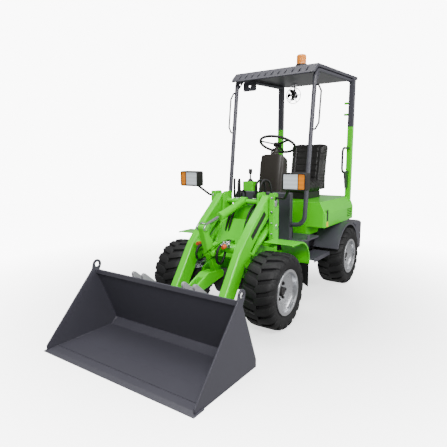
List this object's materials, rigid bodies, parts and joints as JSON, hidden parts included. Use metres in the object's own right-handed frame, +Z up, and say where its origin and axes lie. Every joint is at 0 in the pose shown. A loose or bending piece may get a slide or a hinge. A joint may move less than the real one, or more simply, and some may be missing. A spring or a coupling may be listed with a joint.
{
  "type": "compact electric articulated wheel loader",
  "caption": "Small electric articulated wheel loader: canopy over a driver's seat, bucket on lift arms with a tilt lever, centre pivot steering, lugged tyres",
  "frame": {"origin": "on the ground, at the bottom centre of the whole machine's bounding box, bucket included", "axes": "+Z up, -Y forward towards the bucket, +X to the driver's left"},
  "size_m": [1.458, 3.706, 2.4754],
  "materials": {
    "green_paint": "gloss lime green paint",
    "charcoal_paint": "satin charcoal grey paint",
    "edge_steel": "satin charcoal paint worn at the lip",
    "axle_iron": "black painted casting",
    "coupler_grey": "light grey paint",
    "battery_case": "battery block, plain case",
    "black_plastic": "moulded black plastic",
    "black_tube": "black painted tube",
    "seat_vinyl": "black vinyl over foam",
    "tyre_rubber": "black tyre rubber",
    "rubber_sheet": "black rubber",
    "rim_silver": "silver painted steel rim",
    "chrome": "bright plated steel",
    "clear_lens": "clear ribbed lamp lens",
    "amber_lens": "amber lens",
    "red_lens": "red lens"
  },
  "bodies": {
    "rear_frame": {"rear_chassis": "charcoal_paint", "rear_axle": "axle_iron", "battery_pack": "battery_case", "body_shell": "green_paint", "counterweight": "charcoal_paint", "tail_lamps": "red_lens", "deck": "charcoal_paint", "steps": "charcoal_paint", "rear_fenders": "charcoal_paint", "dash_panel": "charcoal_paint", "steering_column": "black_plastic", "lever_console": "green_paint", "controls": "black_plastic", "seat_base": "black_plastic", "seat_cushion": "seat_vinyl", "seat_back": "seat_vinyl", "front_posts": "charcoal_paint", "rear_posts_lower": "green_paint", "rear_posts_upper": "charcoal_paint", "roof_panel": "charcoal_paint", "grab_rails": "black_tube", "beacon_base": "black_plastic", "beacon_lens": "amber_lens", "fan_body": "chrome", "steering_barrel": "charcoal_paint"},
    "front_frame": {"front_chassis": "green_paint", "front_axle": "axle_iron", "front_fenders": "green_paint", "mud_flaps": "rubber_sheet", "lamp_housings": "black_plastic", "lamp_lenses": "clear_lens", "indicator_lenses": "amber_lens", "hydraulic_fittings": "chrome", "tower_hoses": "rubber_sheet"},
    "lift_arm": {"lift_arm": "green_paint", "auxiliary_couplers": "chrome"},
    "lift_barrels": {"lift_barrels": "green_paint"},
    "lift_rods": {"lift_rods": "chrome"},
    "tilt_lever": {"tilt_lever": "green_paint"},
    "tilt_link": {"tilt_link": "green_paint"},
    "tilt_barrel": {"tilt_barrel": "green_paint"},
    "tilt_rod": {"tilt_rod": "chrome"},
    "bucket": {"bucket": "charcoal_paint", "cutting_edge": "edge_steel", "quick_coupler": "coupler_grey"},
    "steering_rod": {"steering_rod": "chrome"},
    "steering_wheel": {"steering_wheel": "black_plastic"},
    "fan_rotor": {"fan_blades": "black_plastic"},
    "wheel_front_left": {"tyre_front_left": "tyre_rubber", "rim_front_left": "rim_silver"},
    "wheel_front_right": {"tyre_front_right": "tyre_rubber", "rim_front_right": "rim_silver"},
    "wheel_rear_left": {"tyre_rear_left": "tyre_rubber", "rim_rear_left": "rim_silver"},
    "wheel_rear_right": {"tyre_rear_right": "tyre_rubber", "rim_rear_right": "rim_silver"}
  },
  "joints": [
    {"name": "articulation", "type": "hinge", "parent": "rear_frame", "child": "front_frame", "pos_m": [0, 0.3515, 0.4575], "axis": [0, 0, 1], "range_deg": [-35, 35]},
    {"name": "lift", "type": "hinge", "parent": "front_frame", "child": "lift_arm", "pos_m": [0, -0.162, 1.04], "axis": [-1, 0, 0], "range_deg": [0, 75]},
    {"name": "lift_barrel_swing", "type": "hinge", "parent": "front_frame", "child": "lift_barrels", "pos_m": [0, -0.117, 0.82], "axis": [-1, 0, 0], "range_deg": [0, 69.25]},
    {"name": "lift_rod_slide", "type": "slide", "parent": "lift_barrels", "child": "lift_rods", "axis": [0, -0.8464, -0.5326], "range_m": [0, 0.26571]},
    {"name": "tilt", "type": "hinge", "parent": "lift_arm", "child": "bucket", "pos_m": [0, -0.961, 0.233], "axis": [1, 0, 0], "range_deg": [-40, 95]},
    {"name": "tilt_lever_swing", "type": "hinge", "parent": "lift_arm", "child": "tilt_lever", "pos_m": [0, -0.714, 0.65], "axis": [1, 0, 0], "range_deg": [-46.93, 19.82]},
    {"name": "tilt_link_swing", "type": "hinge", "parent": "tilt_lever", "child": "tilt_link", "pos_m": [0, -0.599, 0.44], "axis": [1, 0, 0], "range_deg": [-22.56, 53.44]},
    {"name": "tilt_barrel_swing", "type": "hinge", "parent": "lift_arm", "child": "tilt_barrel", "pos_m": [0, -0.162, 1.04], "axis": [1, 0, 0], "range_deg": [-1.78, 4.09]},
    {"name": "tilt_rod_slide", "type": "slide", "parent": "tilt_barrel", "child": "tilt_rod", "axis": [0, -0.9682, -0.2502], "range_m": [-0.1857, 0.0785]},
    {"name": "steering_rod_slide", "type": "slide", "parent": "rear_frame", "child": "steering_rod", "axis": [0, 1, 0], "range_m": [-0.0895, 0.0895]},
    {"name": "steering_wheel_turn", "type": "hinge", "parent": "rear_frame", "child": "steering_wheel", "pos_m": [0, 0.513, 1.59], "axis": [0, 0.4226, 0.9063], "continuous": true},
    {"name": "fan_spin", "type": "hinge", "parent": "rear_frame", "child": "fan_rotor", "pos_m": [-0.24, 1.348, 2.215], "axis": [0, -1, 0], "continuous": true},
    {"name": "wheel_front_left_roll", "type": "hinge", "parent": "front_frame", "child": "wheel_front_left", "pos_m": [0.485, -0.452, 0.33], "axis": [1, 0, 0], "continuous": true},
    {"name": "wheel_front_right_roll", "type": "hinge", "parent": "front_frame", "child": "wheel_front_right", "pos_m": [-0.485, -0.452, 0.33], "axis": [1, 0, 0], "continuous": true},
    {"name": "wheel_rear_left_roll", "type": "hinge", "parent": "rear_frame", "child": "wheel_rear_left", "pos_m": [0.485, 1.155, 0.33], "axis": [1, 0, 0], "continuous": true},
    {"name": "wheel_rear_right_roll", "type": "hinge", "parent": "rear_frame", "child": "wheel_rear_right", "pos_m": [-0.485, 1.155, 0.33], "axis": [1, 0, 0], "continuous": true}
  ],
  "couplings": [
    {"joint": "lift_barrel_swing", "follows": "lift", "ratio": 0.92323},
    {"joint": "lift_rod_slide", "follows": "lift", "m_per_rad": 0.20291},
    {"joint": "tilt_lever_swing", "follows": "tilt", "ratio": -0.49296},
    {"joint": "tilt_link_swing", "follows": "tilt", "ratio": 0.56147},
    {"joint": "tilt_barrel_swing", "follows": "tilt", "ratio": 0.041952},
    {"joint": "tilt_rod_slide", "follows": "tilt", "m_per_rad": -0.11168},
    {"joint": "steering_rod_slide", "follows": "articulation", "m_per_rad": 0.14554}
  ]
}
